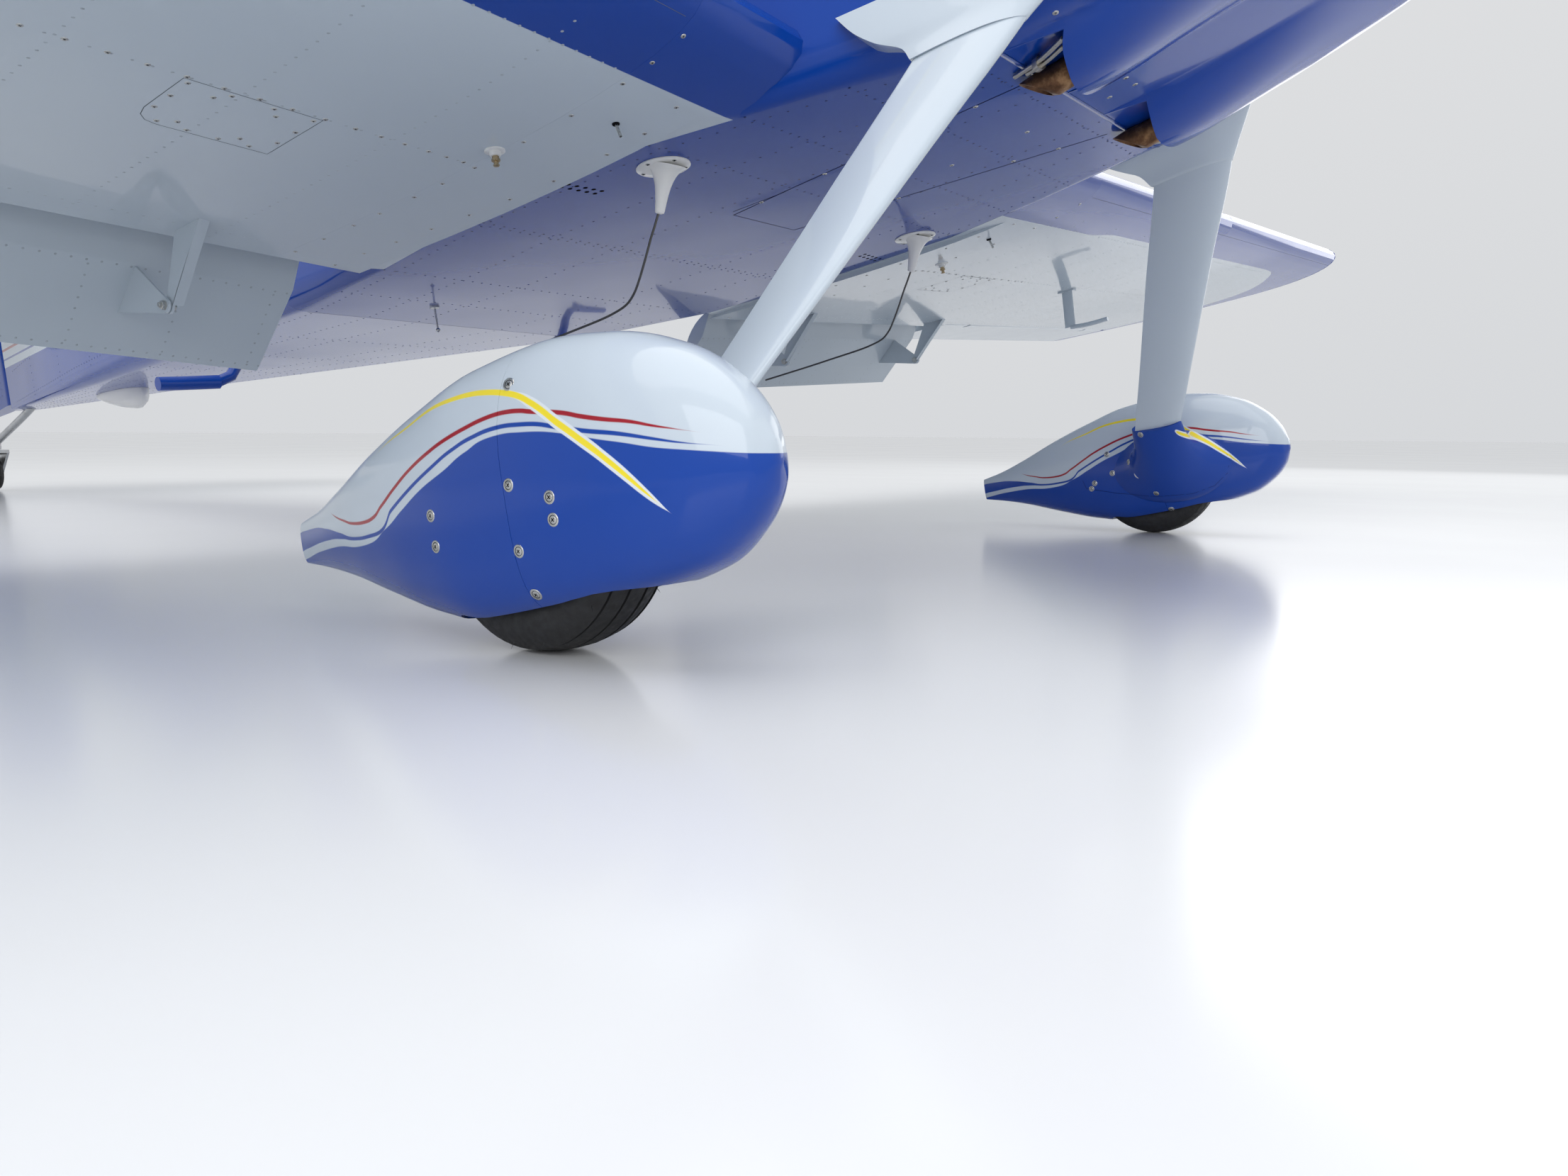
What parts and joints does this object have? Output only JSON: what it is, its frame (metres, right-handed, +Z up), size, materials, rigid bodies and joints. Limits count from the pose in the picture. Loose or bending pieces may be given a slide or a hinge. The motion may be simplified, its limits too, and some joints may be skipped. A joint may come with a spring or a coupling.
{
  "type": "homebuilt light aircraft",
  "caption": "Low-wing side-by-side light aircraft on tailwheel gear, with faired wheels, lowered slotted flaps, tip-up canopy and nose propeller.",
  "frame": {"origin": "on the floor, under the middle of the parked aircraft's bounding box", "axes": "+X towards the nose, +Y towards the left wing tip, +Z up; the aircraft stands 10.9 degrees nose-up on its three wheels"},
  "size_m": [6.4736, 8.23, 1.913],
  "materials": {
    "blue_enamel": "gloss enamel",
    "blue_gelcoat": "gloss paint over glass-fibre",
    "grey_enamel": "gloss enamel",
    "grey_gelcoat": "gloss paint over glass-fibre",
    "white_gelcoat": "gloss",
    "clear_acrylic": "clear",
    "bare_steel": "satin",
    "engine_iron": "as cast",
    "scaled_steel": "heat-scaled brown",
    "black_enamel": "satin",
    "seat_cloth": "woven",
    "tyre_rubber": "matte"
  },
  "bodies": {
    "airframe": {"cabin_tub": "blue_enamel", "firewall": "bare_steel", "forward_deck": "blue_enamel", "instrument_panel": "black_enamel", "roll_bar": "black_enamel", "rear_window": "clear_acrylic", "tail_cone": "blue_enamel", "cowl_upper": "blue_gelcoat", "cowl_lower": "blue_gelcoat", "engine_block": "engine_iron", "exhaust_pipe_left": "scaled_steel", "exhaust_pipe_right": "scaled_steel", "wing_left": "grey_enamel", "wing_right": "grey_enamel", "wing_root_fairing_left": "grey_enamel", "wing_root_fairing_right": "grey_enamel", "wing_tip_left": "blue_gelcoat", "wing_tip_right": "blue_gelcoat", "horizontal_stabilizer": "grey_enamel", "vertical_fin": "blue_enamel", "gear_leg_left": "grey_gelcoat", "gear_leg_right": "grey_gelcoat", "leg_root_fairing_left": "grey_gelcoat", "leg_root_fairing_right": "grey_gelcoat", "leg_foot_fairing_left": "blue_gelcoat", "leg_foot_fairing_right": "blue_gelcoat", "wheel_pant_front_left": "blue_gelcoat", "wheel_pant_front_right": "blue_gelcoat", "wheel_pant_rear_left": "blue_gelcoat", "wheel_pant_rear_right": "blue_gelcoat", "tail_spring": "bare_steel", "seat_cushion_left": "seat_cloth", "seat_cushion_right": "seat_cloth", "seat_back_left": "seat_cloth", "seat_back_right": "seat_cloth", "control_stick_left": "black_enamel", "control_stick_right": "black_enamel", "whip_antenna_left": "white_gelcoat", "whip_antenna_right": "white_gelcoat", "boarding_step_left": "blue_enamel", "boarding_step_right": "blue_enamel", "pitot_tube": "bare_steel", "underside_antenna": "white_gelcoat", "rod_antenna": "bare_steel"},
    "canopy": {"canopy_frame": "blue_gelcoat", "canopy_glass": "clear_acrylic"},
    "propeller": {"propeller": "black_enamel", "spinner": "white_gelcoat"},
    "wheel_left": {"tyre_left": "tyre_rubber", "wheel_rim_left": "bare_steel"},
    "wheel_right": {"tyre_right": "tyre_rubber", "wheel_rim_right": "bare_steel"},
    "tailwheel_fork": {"tailwheel_fork": "bare_steel"},
    "tailwheel": {"tailwheel": "tyre_rubber"},
    "flap_left": {"flap_left": "grey_enamel"},
    "flap_right": {"flap_right": "grey_enamel"},
    "aileron_left": {"aileron_left": "grey_enamel"},
    "aileron_right": {"aileron_right": "grey_enamel"},
    "elevators": {"elevators": "grey_enamel"},
    "rudder": {"rudder": "blue_enamel"}
  },
  "joints": [
    {"name": "propeller_spin", "type": "hinge", "parent": "airframe", "child": "propeller", "pos_m": [3.00109, 0, 1.51164], "axis": [0.9819, 0, 0.1893], "continuous": true},
    {"name": "wheel_left_spin", "type": "hinge", "parent": "airframe", "child": "wheel_left", "pos_m": [1.86798, 1.178, 0.17298], "axis": [0, 1, 0], "continuous": true},
    {"name": "wheel_right_spin", "type": "hinge", "parent": "airframe", "child": "wheel_right", "pos_m": [1.86798, -1.178, 0.17298], "axis": [0, 1, 0], "continuous": true},
    {"name": "tailwheel_steer", "type": "hinge", "parent": "airframe", "child": "tailwheel_fork", "pos_m": [-2.86463, 0, 0.19974], "axis": [-0.0906, 0, 0.9959], "range_deg": [-35, 35]},
    {"name": "tailwheel_spin", "type": "hinge", "parent": "tailwheel_fork", "child": "tailwheel", "pos_m": [-2.92021, 0, 0.07598], "axis": [0, 1, 0], "continuous": true},
    {"name": "canopy_tilt", "type": "hinge", "parent": "airframe", "child": "canopy", "pos_m": [1.61595, 0, 1.57563], "axis": [0, 1, 0], "range_deg": [0, 50]},
    {"name": "flap_left_hinge", "type": "hinge", "parent": "airframe", "child": "flap_left", "pos_m": [0.65764, 1.4, 0.5347], "axis": [-0.0116, 0.9981, 0.0599], "range_deg": [0, 41.3]},
    {"name": "flap_right_hinge", "type": "hinge", "parent": "airframe", "child": "flap_right", "pos_m": [0.65764, -1.4, 0.5347], "axis": [0.0116, 0.9981, -0.0599], "range_deg": [0, 41.3]},
    {"name": "aileron_left_hinge", "type": "hinge", "parent": "airframe", "child": "aileron_left", "pos_m": [0.66664, 3, 0.80502], "axis": [-0.0116, 0.9981, 0.0599], "range_deg": [-25, 25]},
    {"name": "aileron_right_hinge", "type": "hinge", "parent": "airframe", "child": "aileron_right", "pos_m": [0.66664, -3, 0.80502], "axis": [0.0116, 0.9981, -0.0599], "range_deg": [-25, 25]},
    {"name": "elevator_hinge", "type": "hinge", "parent": "airframe", "child": "elevators", "pos_m": [-2.53038, 0, 0.68476], "axis": [0, 1, 0], "range_deg": [-25, 30]},
    {"name": "rudder_hinge", "type": "hinge", "parent": "airframe", "child": "rudder", "pos_m": [-2.69908, 0, 0.82029], "axis": [-0.1893, 0, 0.9819], "range_deg": [-35, 35]}
  ],
  "couplings": [
    {"joint": "flap_right_hinge", "follows": "flap_left_hinge", "ratio": 1},
    {"joint": "aileron_right_hinge", "follows": "aileron_left_hinge", "ratio": -1}
  ]
}
